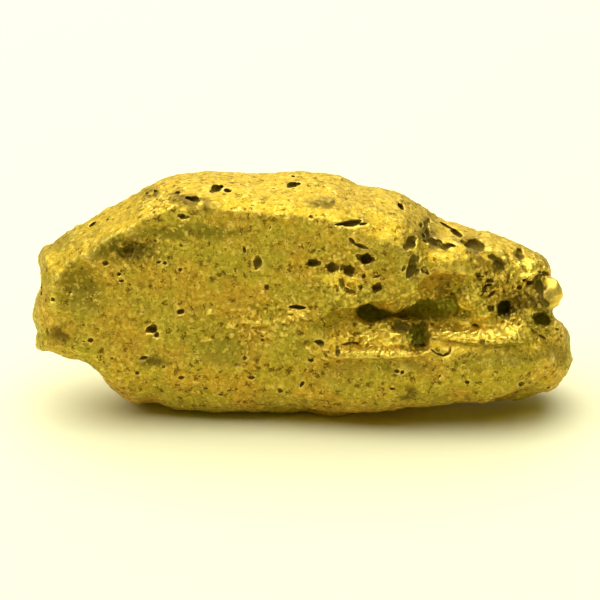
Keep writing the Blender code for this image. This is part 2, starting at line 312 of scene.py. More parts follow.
relief(nugget, "CLOUDS", 2.6, 0.9, group="back dents", noise_depth=1)
relief(nugget, "CLOUDS", 1.1, 0.3, noise_depth=2)
relief(nugget, "VORONOI", 0.5, -0.16, mid=0.4)
relief(nugget, "CLOUDS", 0.4, 0.2, group="crumbs", noise_depth=1)
relief(nugget, "VORONOI", 0.22, -0.2, group="crumbs", mid=0.4)
relief(nugget, "CLOUDS", 0.2, 0.12, noise_depth=1)
low, high = points_of(nugget).min(0), points_of(nugget).max(0)
print("box after relief:", low.round(2), high.round(2))

# %% [markdown]
# ## Pits
#
# Gold pits are where grains of quartz and ironstone dropped out, so they are angular, with sharp
# rims. Four pebbles with shaken corners stand for the lost grains. Each pit is a copy of one,
# stretched to its size, half sunk in the skin and cut out with a Boolean modifier.

# %% Four lost grains
def lost_grain(seed):
    """A ball of a few dozen faces with shaken corners."""
    bpy.ops.object.select_all(action="DESELECT")
    bpy.ops.mesh.primitive_ico_sphere_add(subdivisions=2, radius=1)
    grain = bpy.context.object
    bpy.ops.object.mode_set(mode="EDIT")
    bpy.ops.mesh.select_all(action="SELECT")
    bpy.ops.transform.vertex_random(offset=0.32, seed=seed)
    bpy.ops.object.mode_set(mode="OBJECT")
    return grain


grains = [lost_grain(seed) for seed in (3, 11, 23, 42)]
shake = random.Random(17)
print("grains with", len(grains[0].data.polygons), "faces each")

# %% [markdown]
# A sculptor would press a stamp into clay. Here the stamp is a grain, and a Boolean modifier
# takes its shape out of the metal, or melts it on for a crumb. Many grains are joined first, so
# that one Boolean does them all.

# %% Cutting tools
def place_grain(spot, axes, half_sizes):
    """A copy of one of the grains, rolled, and stretched along the given axes at a spot."""
    grain = shake.choice(grains)
    copy = grain.copy()
    copy.data = grain.data.copy()
    bpy.context.scene.collection.objects.link(copy)
    rolled = Matrix.Rotation(shake.uniform(0, math.tau), 4, "Y")
    copy.data.transform(
        Matrix.Translation(spot) @ axes.to_4x4() @ Matrix.Diagonal((*half_sizes, 1)) @ rolled)
    return copy


def combine(thing, placed, operation, name):
    """Joins the placed grains, and takes them out of the piece or melts them into it."""
    select_only(*placed)
    bpy.ops.object.join()
    tool = bpy.context.object
    before = len(thing.data.polygons)
    apply_modifier(thing, "BOOLEAN", operation=operation, object=tool, solver="MANIFOLD")
    bpy.data.objects.remove(tool)
    print(name, "made with", len(placed), "grains:", before, "->", len(thing.data.polygons))


# %% [markdown]
# ### The pits of the front, one by one
#
# These are large enough to list one by one. Each is (along, up, half width, half height, turn,
# half depth). Those that touch each other are cut in different rounds.

# %% Front pits
PITS = [
    # the top, from the rounded end
    (-3.9, 9.6, 0.27, 0.24, 30, 0.4), (-4.9, 9.1, 0.3, 0.15, -8, 0.35),
    (-0.4, 9.8, 0.26, 0.15, 0, 0.35), (-3.4, 9.5, 0.19, 0.11, -20, 0.25),
    (-5.7, 9.4, 0.22, 0.11, 0, 0.3), (-5.4, 8.3, 0.17, 0.15, 0, 0.3),
    (-0.4, 10.2, 0.09, 0.06, 0, 0.15), (-6.7, 9.5, 0.13, 0.1, 0, 0.15),
    (-7.1, 9.4, 0.11, 0.1, 0, 0.15), (4.5, 8.8, 0.13, 0.24, 30, 0.35),
    (-9.6, 8.0, 0.2, 0.08, 35, 0.25), (-8.9, 8.2, 0.08, 0.06, 0, 0.12),
    # the hanging lobe and the cracks round it
    (2.3, 8.0, 0.6, 0.15, 8, 0.4), (4.9, 7.1, 0.27, 0.32, 0, 0.4),
    (7.75, 7.05, 0.46, 0.4, -20, 0.8), (2.9, 6.4, 0.32, 0.29, 20, 0.45),
    (2.1, 5.9, 0.28, 0.28, 0, 0.5), (1.35, 6.0, 0.26, 0.28, 15, 0.5),
    (0.5, 6.2, 0.28, 0.21, 0, 0.45), (-2.0, 6.2, 0.22, 0.27, -20, 0.4),
    (3.4, 5.1, 0.25, 0.22, 30, 0.3), (2.8, 5.6, 0.1, 0.13, 0, 0.2),
    (3.4, 5.6, 0.2, 0.07, 20, 0.2), (5.5, 5.9, 0.14, 0.16, 0, 0.25),
    # the outer lobe and the pitted end
    (8.0, 5.65, 0.16, 0.16, 0, 0.25), (8.5, 5.4, 0.16, 0.16, 0, 0.25),
    (10.82, 5.05, 0.2, 0.5, 5, 0.35), (9.95, 6.55, 0.3, 0.27, 0, 0.3),
    (10.95, 6.1, 0.15, 0.13, 0, 0.2),
    (9.9, 5.1, 0.15, 0.14, 0, 0.25), (9.05, 4.2, 0.55, 0.42, 15, 0.45),
    (10.9, 3.55, 0.45, 0.4, 0, 0.4), (11.9, 2.9, 0.12, 0.1, 0, 0.15),
    (8.15, 2.65, 0.13, 0.2, 0, 0.2), (9.6, 3.6, 0.12, 0.1, 0, 0.15),
    # the ledge and the lower roll
    (4.5, 3.35, 0.42, 0.24, -12, 0.5), (5.1, 3.2, 0.42, 0.3, 0, 0.5),
    (4.3, 1.3, 0.12, 0.1, 0, 0.2), (4.55, 1.25, 0.1, 0.1, 0, 0.2),
    (4.1, 0.5, 0.16, 0.07, 0, 0.15), (10.0, 0.7, 0.2, 0.13, 0, 0.3),
    (10.4, 0.75, 0.1, 0.1, 0, 0.2), (11.3, 0.5, 0.12, 0.07, 0, 0.15),
    (7.5, 0.8, 0.13, 0.1, 0, 0.2), (0.8, 2.6, 0.18, 0.13, 0, 0.3),
    (1.6, 2.2, 0.15, 0.22, -10, 0.25),
    # the rounded end and the face
    (-5.5, 4.0, 0.2, 0.13, 10, 0.3), (-6.8, 3.2, 0.27, 0.18, -15, 0.4),
    (-6.6, 2.95, 0.12, 0.14, 0, 0.25), (-9.6, 2.7, 0.15, 0.12, 0, 0.25),
    (-0.2, 4.2, 0.44, 0.11, -5, 0.4), (-1.6, 5.1, 0.13, 0.16, 0, 0.25),
    (-8.9, 6.2, 0.17, 0.13, 0, 0.25), (-8.3, 5.7, 0.12, 0.09, 0, 0.2),
    (-8.2, 5.4, 0.15, 0.08, 0, 0.2), (-2.6, 6.8, 0.08, 0.18, 10, 0.2),
    (-5.5, 5.9, 0.1, 0.1, 0, 0.2), (-6.2, 6.2, 0.1, 0.1, 0, 0.2),
    (-2.3, 1.0, 0.17, 0.1, 0, 0.2), (0.0, 0.7, 0.1, 0.18, -30, 0.25),
    (-5.5, 1.0, 0.15, 0.09, 0, 0.2), (-4.4, 0.5, 0.12, 0.08, 0, 0.15),
    (-3.7, 0.2, 0.12, 0.08, 0, 0.15), (0.4, 1.8, 0.15, 0.12, 0, 0.2),
    (-11.9, 5.2, 0.07, 0.18, 0, 0.15), (-11.9, 4.8, 0.07, 0.16, 0, 0.15),
    (-7.2, 1.9, 0.19, 0.1, 10, 0.2), (-7.5, 1.2, 0.1, 0.12, 0, 0.15),
    (-6.3, 1.5, 0.08, 0.08, 0, 0.12), (-1.0, 0.4, 0.15, 0.12, -30, 0.2),
    (-2.6, 1.9, 0.09, 0.13, 0, 0.2), (-1.8, 2.7, 0.09, 0.08, 0, 0.15),
]
print(len(PITS), "pits in front")

# %% [markdown]
# A crease or a crack is a row of long pits that overlap, one for each stretch of it. Each row is
# given by its corners, as (along, up, half width there). Bright ridges are rows as well.

# %% Creases and ridges
CREASES = [
    # the bent crease over the hanging lobe, and the slanting one that runs into a large pit
    [(5.75, 8.3, 0.18), (5.6, 7.8, 0.16), (5.7, 7.35, 0.2), (6.1, 7.05, 0.2), (6.7, 6.85, 0.14)],
    [(6.4, 8.1, 0.08), (6.85, 7.8, 0.12), (7.3, 7.45, 0.2)],
    # the left flank of the lobe
    [(5.05, 6.5, 0.14), (4.95, 6.1, 0.24), (4.78, 5.6, 0.16)],
    [(2.15, 7.3, 0.08), (2.4, 7.05, 0.12), (2.95, 6.85, 0.1)],
    [(1.75, 5.5, 0.14), (1.9, 5.05, 0.15), (2.35, 4.85, 0.12)],
    [(2.5, 6.5, 0.08), (2.85, 6.4, 0.22)], [(5.5, 5.95, 0.09), (5.7, 5.7, 0.12)],
    # the outer lobe
    [(8.6, 6.55, 0.1), (8.85, 6.3, 0.2), (9.1, 5.95, 0.14)],
    [(9.4, 5.75, 0.05), (9.35, 5.45, 0.12), (9.3, 5.1, 0.08)],
    [(8.1, 4.8, 0.12), (8.3, 5.1, 0.16), (8.6, 5.3, 0.1)],
    [(8.5, 4.7, 0.1), (8.75, 4.9, 0.12)],
    # round the bead
    [(10.15, 5.3, 0.13), (10.6, 5.4, 0.18), (10.95, 5.7, 0.2), (11.3, 5.85, 0.12)],
    [(10.95, 4.55, 0.14), (11.3, 4.25, 0.12)],
    [(10.1, 4.9, 0.07), (10.4, 4.6, 0.12), (10.7, 4.2, 0.1)],
    # cracks of the shelf, the ledge and the nose
    [(10.4, 3.25, 0.07), (10.8, 2.95, 0.08), (11.2, 2.7, 0.06)],
    [(11.4, 3.25, 0.06), (11.95, 3.15, 0.07)],
    [(5.85, 2.3, 0.04), (6.1, 2.1, 0.07), (6.4, 2.0, 0.08), (6.7, 2.15, 0.07), (6.75, 2.45, 0.04)],
    [(1.9, 2.5, 0.06), (2.3, 2.6, 0.09), (2.75, 2.5, 0.06)],
    [(2.3, 3.0, 0.08), (2.75, 3.05, 0.1)], [(0.6, 2.65, 0.1), (0.95, 2.6, 0.1)],
    [(5.15, 2.45, 0.1), (5.7, 2.45, 0.1)], [(7.8, 3.4, 0.08), (8.1, 3.3, 0.1)],
    # the three-cornered hollow below the cavity
    [(4.3, 3.45, 0.15), (4.75, 3.1, 0.2), (5.1, 2.8, 0.2)],
    [(5.5, 3.5, 0.15), (5.45, 3.1, 0.22), (5.3, 2.6, 0.15)],
]
RIDGES = [
    # the rim of the ledge and the edge of the shelf
    [(0.2, 2.4, 0.08), (0.5, 2.1, 0.12)], [(0.9, 1.95, 0.1), (1.2, 1.85, 0.1)],
    [(0.95, 2.3, 0.08), (1.3, 2.2, 0.1)], [(1.9, 2.1, 0.08), (2.2, 2.2, 0.1)],
    [(2.6, 2.15, 0.09), (2.9, 2.1, 0.06)], [(3.3, 2.1, 0.1), (3.5, 2.2, 0.08)],
    [(4.0, 2.15, 0.12), (4.3, 2.1, 0.08)], [(5.2, 2.15, 0.1), (5.5, 2.2, 0.06)],
    [(6.3, 3.0, 0.12), (6.8, 3.05, 0.12)], [(7.2, 3.05, 0.1), (7.6, 3.1, 0.1)],
    # flakes on the face
    [(-4.3, 3.9, 0.1), (-4.05, 4.05, 0.12)], [(-4.6, 2.63, 0.05), (-4.1, 2.73, 0.05)],
    [(-3.35, 3.45, 0.1), (-3.0, 3.25, 0.12)], [(-2.1, 3.55, 0.12), (-1.85, 3.5, 0.12)],
    [(-1.85, 3.15, 0.05), (-1.5, 3.3, 0.06)], [(-0.65, 3.95, 0.08), (-0.2, 4.0, 0.1)],
    [(-0.2, 3.95, 0.1), (0.25, 3.65, 0.08), (0.45, 3.5, 0.05)],
    [(0.7, 3.9, 0.07), (0.85, 3.9, 0.07)],
    [(-1.9, 4.85, 0.1), (-1.7, 4.9, 0.1)], [(-3.7, 3.95, 0.05), (-3.6, 3.93, 0.05)],
    [(-1.0, 1.85, 0.06), (-0.9, 1.85, 0.06)], [(-1.85, 2.6, 0.05), (-1.75, 2.6, 0.05)],
]


def stretches(rows):
    """Each stretch of each row as a pit: along, up, half width, half height, turn, half depth."""
    links = []
    for corners in rows:
        for (x0, v0, r0), (x1, v1, r1) in zip(corners, corners[1:]):
            length = math.hypot(x1 - x0, v1 - v0)
            turn = math.degrees(math.atan2(v1 - v0, x1 - x0))
            half = (r0 + r1) / 2
            links.append(((x0 + x1) / 2, (v0 + v1) / 2, 0.6 * length + 0.4 * half, half, turn,
                          0.1 + 1.3 * half))
    return links


print(len(stretches(CREASES)), "stretches of crease,", len(stretches(RIDGES)), "of ridge")

# %% [markdown]
# Ridges are melted into the skin first, half sunk, so that only a bright back of each stands out.
# Neighbours go in different rounds, because a Boolean's tool should not cross itself.

# %% Melt on the ridges
skin = skin_of(nugget)


def front_grain(along, up, half_width, half_height, turn, half_depth, stretch=True):
    """A grain that faces the eye, centred on the skin, and longer where the skin leans back."""
    spot, normal = seen_spot(skin, along, up)
    axes = EYE_AXES @ Matrix.Rotation(math.radians(-turn), 3, "Y")
    if stretch:
        lean = 1 / max(abs(normal.dot(INWARD)), 0.4) - 1
        half_depth *= 1 + lean * max(normal.dot(UPWARD), 0)
    return place_grain(spot, axes, (half_width, half_depth, half_height))


ridges = stretches(RIDGES)
for start in (0, 1):
    placed = [front_grain(*ridge[:5], 0.9 * ridge[3] + 0.03, False) for ridge in ridges[start::2]]
    combine(nugget, placed, "UNION", "ridges")

# %% [markdown]
# A lost grain rarely came away alone, so two smaller hollows are cut into the rim of each of the
# larger pits. That is what makes a pit look torn and not drilled.

# %% Cut the pits and creases of the front
TWINNED = 0.15  # pits at least this wide and high have smaller hollows at both ends
rounds = [[] for _ in range(6)]
for number, pit in enumerate(PITS + stretches(CREASES)):
    along, up, half_width, half_height, turn, half_depth = pit
    rounds[number % 2].append(front_grain(*pit))
    if min(half_width, half_height) < TWINNED:
        continue
    bearing = shake.uniform(0, math.tau)
    for side in (0, 1):
        part = shake.uniform(0.4, 0.65)
        bearing += shake.uniform(2.4, 3.8)
        rounds[2 + 2 * side + number % 2].append(front_grain(
            along + 0.85 * half_width * math.cos(bearing),
            up + 0.85 * half_height * math.sin(bearing),
            part * half_width, part * half_height, turn, part * half_depth))
for cutters in rounds:
    combine(nugget, cutters, "DIFFERENCE", "front pits")

# %% [markdown]
# ### Crumbs and small pits all over
#
# The rest are too many to know one by one. They are scattered with a fixed seed: crumbs and the
# gaps between them on the ledge and the shelf, small pits close together on the crusty skin and
# far apart on the rubbed facets, and a few larger ones on the back.

# %% Scattered pits and crumbs
SILTED = [
    (4.85, 3.25, 1.1, 0.5, -10), (5.25, 2.95, 0.6, 0.7, 0), (10.8, 5.3, 0.6, 0.7, 0),
]
CRUMBS = [
    (0.9, 2.1, 0.9, 0.4, -10), (2.4, 2.2, 0.9, 0.3, 0), (4.4, 2.3, 1.6, 0.45, 0),
    (3.6, 2.9, 1.3, 0.6, 0), (6.8, 3.4, 1.3, 0.35, 0), (7.7, 3.9, 0.6, 0.9, 0),
    (-2.0, 3.5, 1.0, 0.4, 0), (0.0, 3.8, 0.9, 0.4, -10), (1.9, 5.3, 1.3, 0.6, -20),
    (9.6, 3.7, 1.6, 0.5, 0), (8.6, 5.2, 0.9, 0.9, 0), (5.2, 3.55, 2.6, 0.25, 0),
    (9.0, 4.2, 0.7, 0.6, 0),
]


def scatter(thing, count, small, large, spacing, seed, likely, height=1.2):
    """Grains between two half widths, at least a spacing apart, each as likely as likely says."""
    pick = random.Random(seed)
    points, normals = points_of(thing), normals_of(thing)
    chances = likely(points, normals)
    chosen, taken = [], {}
    for _ in range(count * 60):
        index = pick.randrange(len(points))
        spot = Vector(points[index])
        cell = tuple(int(c // spacing) for c in spot)
        near = [taken.get((cell[0] + i, cell[1] + j, cell[2] + k))
                for i in (-1, 0, 1) for j in (-1, 0, 1) for k in (-1, 0, 1)]
        if any(p is not None and (p - spot).length < spacing for p in near):
            continue
        if pick.random() > chances[index]:
            continue
        taken[cell] = spot
        size = small + (large - small) * pick.random() ** 2
        axes = Vector(normals[index]).to_track_quat("Z", "Y").to_matrix()
        axes = axes @ Matrix.Rotation(pick.uniform(0, math.tau), 3, "Z")
        sizes = (size, size * pick.uniform(0.3, 1), size * height)
        chosen.append(place_grain(spot, axes, sizes))
        if len(chosen) == count:
            break
    return chosen


def on_crumbly_skin(points, normals):
    """Highest on the ledge and the shelf, and none in the silted hollow between them."""
    wedge = front_weights(points, normals, SILTED, 0)
    return front_weights(points, normals, CRUMBS, 0) * (1 - wedge)


def on_crust(points, normals):
    """Highest on crusty skin, and none on the flat underneath."""
    crust = front_weights(points, normals, CRUSTY, 0.15)
    return (0.16 + crust - 0.15 * front_weights(points, normals, RUBBED, 0)) * (points[:, 2] > 0.4)


def on_the_back(points, normals):
    """All of the side turned away from the eye, clear of the table."""
    return (normals @ np.array(INWARD) > 0.3) & (points[:, 2] > 0.9)


crumbs = scatter(nugget, 210, 0.05, 0.13, 0.26, 21, on_crumbly_skin, height=0.8)
combine(nugget, crumbs, "UNION", "crumbs")
gaps = scatter(nugget, 90, 0.04, 0.09, 0.3, 33, on_crumbly_skin)
combine(nugget, gaps, "DIFFERENCE", "gaps between the crumbs")
small = scatter(nugget, 260, 0.045, 0.13, 0.34, 5, on_crust)
combine(nugget, small, "DIFFERENCE", "small pits")
for seed in (8, 9):
    pits = scatter(nugget, 40, 0.08, 0.34, 1.0, seed, on_the_back)
    combine(nugget, pits, "DIFFERENCE", "back pits")
for grain in grains:
    bpy.data.objects.remove(grain)

# %% [markdown]
# The fine squares are more than the level skin needs, so a Decimate modifier takes triangles
# where the skin bends least. Small holes that the cuts left are filled, and crumbs that hang on
# to nothing are deleted: whatever is joined to the lowest vertex is the nugget.

# %% Thin the mesh and keep it in one piece
MOST_TRIANGLES = 190_000


def triangles_of(thing):
    return sum(len(polygon.vertices) - 2 for polygon in thing.data.polygons)


select_only(nugget)
bpy.ops.object.mode_set(mode="EDIT")
bpy.ops.mesh.select_all(action="SELECT")
bpy.ops.mesh.quads_convert_to_tris()
bpy.ops.object.mode_set(mode="OBJECT")
before = triangles_of(nugget)
apply_modifier(nugget, "DECIMATE", ratio=MOST_TRIANGLES / before)
print("triangles:", before, "->", triangles_of(nugget), "mended:", nugget.data.validate())
bpy.ops.object.mode_set(mode="EDIT")
bpy.ops.mesh.select_mode(type="VERT")
bpy.ops.mesh.select_all(action="SELECT")
bpy.ops.mesh.fill_holes(sides=6)
bpy.ops.mesh.select_all(action="DESELECT")
bpy.ops.object.mode_set(mode="OBJECT")
nugget.data.vertices[int(points_of(nugget)[:, 2].argmin())].select = True
bpy.ops.object.mode_set(mode="EDIT")
bpy.ops.mesh.select_linked()
bpy.ops.mesh.select_all(action="INVERT")
bpy.ops.mesh.delete(type="VERT")
bpy.ops.object.mode_set(mode="OBJECT")
print("one piece of", triangles_of(nugget), "triangles")

# %% [markdown]
# ## What wear, dirt and painted light know about the shape
#
# Dirt stays where fingers and gravel can't reach, and rubbing brightens what stands proud. Both
# are measured once for every vertex and stored as attributes that the material can read, together
# with patches of painted light and shade:
#
# - `sheltered` counts how many of a dozen rays from the vertex soon hit the nugget again, and is
#   high as well in whatever was cut out of the skin.
# - `proud` is how far the vertex stands above its neighbours, with the bead counted in whole, and
#   `upward` how level the skin is.
# - `rubbed_and_shaded`, `smooth`, `stained`, `bright` and `painted_fill_light` are patches: the
#   dish and the facets, which carry painted shade, those and the bead, iron stain, crust kept
#   bright with painted light on it and on the shelf, and painted olive fill light in the hollows.

# %% Measure the finished skin
def neighbour_mean(values, edges, rounds):
    """Each value averaged with those at the other ends of its edges, some rounds over."""
    counts = np.bincount(edges.ravel(), minlength=len(values)).astype(float)
    for _ in range(rounds):
        total = np.zeros_like(values)
        np.add.at(total, edges[:, 0], values[edges[:, 1]])
        np.add.at(total, edges[:, 1], values[edges[:, 0]])
        mean = total / counts.reshape(-1, *[1] * (values.ndim - 1))
        values = 0.5 * values + 0.5 * mean
    return values


def dome_of_rays(count):
    """Directions over the upper half of a sphere, thickest at its top."""
    rays = []
    for i in range(count):
        lift, turn = math.sqrt((i + 0.5) / count), i * 2.39996
        rays.append(Vector((lift * math.cos(turn), lift * math.sin(turn), math.sqrt(1 - lift**2))))
    return rays


def measure_shelter(thing, reach, rays):
    """The share of the rays from each vertex that hit the thing again, near hits counting most."""
    skin = skin_of(thing)
    shelter = []
    for vertex in thing.data.vertices:
        turned = vertex.normal.to_track_quat("Z", "Y")
        start = vertex.co + vertex.normal * 0.02
        blocked = 0.0
        for ray in rays:
            distance = skin.ray_cast(start, turned @ ray, reach)[3]
            if distance is not None:
                blocked += 1 - 0.5 * distance / reach
        shelter.append(blocked / len(rays))
    return np.array(shelter)


def depth_below(skin, point):
    """How deep a point is under an earlier skin."""
    nearest, normal = skin.find_nearest(point)[:2]
    return (nearest - point).dot(normal)


def store(thing, name, values):
    """Keeps one number for each vertex, under a name that a material can read."""
    layer = thing.data.attributes.new(name, "FLOAT", "POINT")
    layer.data.foreach_set("value", np.asarray(values, dtype=np.float32))
    print(name, "from", round(float(values.min()), 2), "to", round(float(values.max()), 2),
          "mean", round(float(values.mean()), 2))


REACH, RAYS = 1.6, 12  # millimetres that a ray looks ahead, and how many there are
DEEP = 0.12  # this far under the skin, a hollow holds as much dirt as it can
PROUD = 0.03  # this far above its neighbours, a vertex is as bright as wear makes it
STAINED = [
    (-10.9, 3.0, 0.9, 0.6, 0), (-7.8, 6.8, 1.6, 0.8, 0), (-6.9, 9.4, 0.6, 0.4, 0),
    (4.7, 0.3, 0.7, 0.5, 0), (10.4, 4.4, 1.5, 1.0, 0),
    (-6.8, 1.7, 0.9, 0.4, 0), (-5.0, 9.0, 1.6, 0.5, -15), (1.0, 8.9, 1.2, 0.4, 0),
    (6.7, 5.0, 1.0, 0.7, 0), (5.8, 7.5, 0.7, 1.1, 0), (7.8, 7.0, 0.8, 0.7, -20),
    (9.0, 6.2, 0.6, 0.7, 0), (5.0, 6.0, 0.4, 0.8, 0),
]
# Crust kept bright, where the material lays a pale yellow: partly the metal's own, partly painted
# light.
CLEAN_AND_LIT_PATCHES = [
    (3.6, 2.8, 2.4, 0.75, 0), (3.4, 2.1, 2.8, 0.4, 0), (8.0, 3.1, 3.0, 0.75, 0),
    (9.8, 3.9, 1.6, 0.7, 0), (-0.2, 3.9, 0.9, 0.3, -10),
    (-2.0, 3.5, 1.1, 0.4, 0), (-3.2, 3.35, 0.5, 0.3, 0), (-4.1, 4.0, 0.4, 0.25, 0),
    (1.8, 5.4, 1.6, 1.0, 0), (7.4, 4.6, 1.0, 0.8, 0), (10.4, 6.0, 1.6, 0.9, 0),
]
# The shelf is painted lighter as well: painted light where the lobe above shades it.
PAINTED_SHELF_LIGHT = [(7.4, 3.15, 2.1, 0.4, 0), (9.8, 3.0, 1.2, 0.5, -10), (8.0, 3.7, 0.9, 0.7, 0)]
# Painted fill light: a lighter, olive colour laid in the sheltered hollows of these patches.
PAINTED_FILL_PATCHES = [
    (3.4, 4.05, 1.4, 0.7, 0), (5.8, 4.4, 2.5, 1.0, 0), (9.05, 4.2, 0.9, 0.7, 0),
    (10.9, 3.6, 0.8, 0.7, 0), (5.2, 3.0, 0.8, 0.9, 0),
]
mesh = nugget.data
edges = np.array([e.vertices[:] for e in mesh.edges])
points, normals = points_of(nugget), normals_of(nugget)
broad = neighbour_mean(normals, edges, 8)
broad /= np.linalg.norm(broad, axis=1, keepdims=True)
bulge = ((points - neighbour_mean(points, edges, 4)) * normals).sum(1)
shelter = neighbour_mean(measure_shelter(nugget, REACH, dome_of_rays(RAYS)), edges, 1)
sunk = np.array([depth_below(skin, v.co) for v in mesh.vertices])
shelter = np.maximum(shelter, 0.85 * np.clip(sunk / DEEP, 0, 1))
silted = front_weights(points, broad, SILTED, 0)
# Only the sheltered part of each patch takes the painted olive fill light.
painted_fill_light = front_weights(points, broad, PAINTED_FILL_PATCHES, 0) * np.clip(4 * shelter - 0.8, 0, 1)
dirt = shelter + silted * np.clip(shelter - 0.1, 0, 0.5)
bead = front_weights(points, broad, BEAD, 0)
facets = front_weights(points, broad, RUBBED, 0.1)
# The dish and the facets take a dark olive in the material: painted shade.
rubbed_and_shaded = np.maximum(front_weights(points, broad, DISH, 0), 0.5 * facets)
clean_and_lit = front_weights(points, broad, CLEAN_AND_LIT_PATCHES, 0) + 0.7 * front_weights(points, broad, PAINTED_SHELF_LIGHT, 0)
store(nugget, "painted_fill_light", painted_fill_light)
store(nugget, "sheltered", dirt * (1 - 0.6 * painted_fill_light))
# The bead counts as proud all over, so it takes the pale colour of worn edges: wear, and painted
# light on the bead.
store(nugget, "proud", np.clip(bulge / PROUD + 0.9 * bead, -1, 1))
store(nugget, "upward", broad[:, 2])
store(nugget, "rubbed_and_shaded", rubbed_and_shaded)
store(nugget, "smooth", np.maximum(rubbed_and_shaded, bead))
store(nugget, "stained", front_weights(points, broad, STAINED, 0.2))
store(nugget, "bright", clean_and_lit)

# %% [markdown]
# ## Set it back to its real size
#
# The mesh itself is scaled, so the object keeps a scale of one. Smooth shading then rounds the
# light over the small triangles. The piece stands in for the solid, on the same body.

# %% Back to metres
resize(nugget, MM)
select_only(nugget)
bpy.ops.object.shade_smooth()
print("finished skin:", triangles_of(nugget), "triangles")

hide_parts("nugget")
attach(nugget, "root")

# %% [markdown]
# ## Colours and nodes
#
# Colours are written as the hex values of a paint chart and turned into the linear light that a
# renderer counts in. One small function adds any node, so that a recipe reads as a list of steps.

# %% Material helpers
def linear(hex_colour):
    """The linear colour of an sRGB hex value."""
    channels = [int(hex_colour[i:i + 2], 16) / 255 for i in (0, 2, 4)]
    return (*[c / 12.92 if c <= 0.04045 else ((c + 0.055) / 1.055) ** 2.4 for c in channels], 1)


def add_node(tree, kind, inputs=None, **settings):
    """Adds a node, sets it, and gives each input a value or links it to another's output."""
    node = tree.nodes.new(kind)
    for name, value in settings.items():
        setattr(node, name, value)
    for name, value in (inputs or {}).items():
        if isinstance(value, bpy.types.NodeSocket):
            tree.links.new(value, node.inputs[name])
        else:
            node.inputs[name].default_value = value
    return node
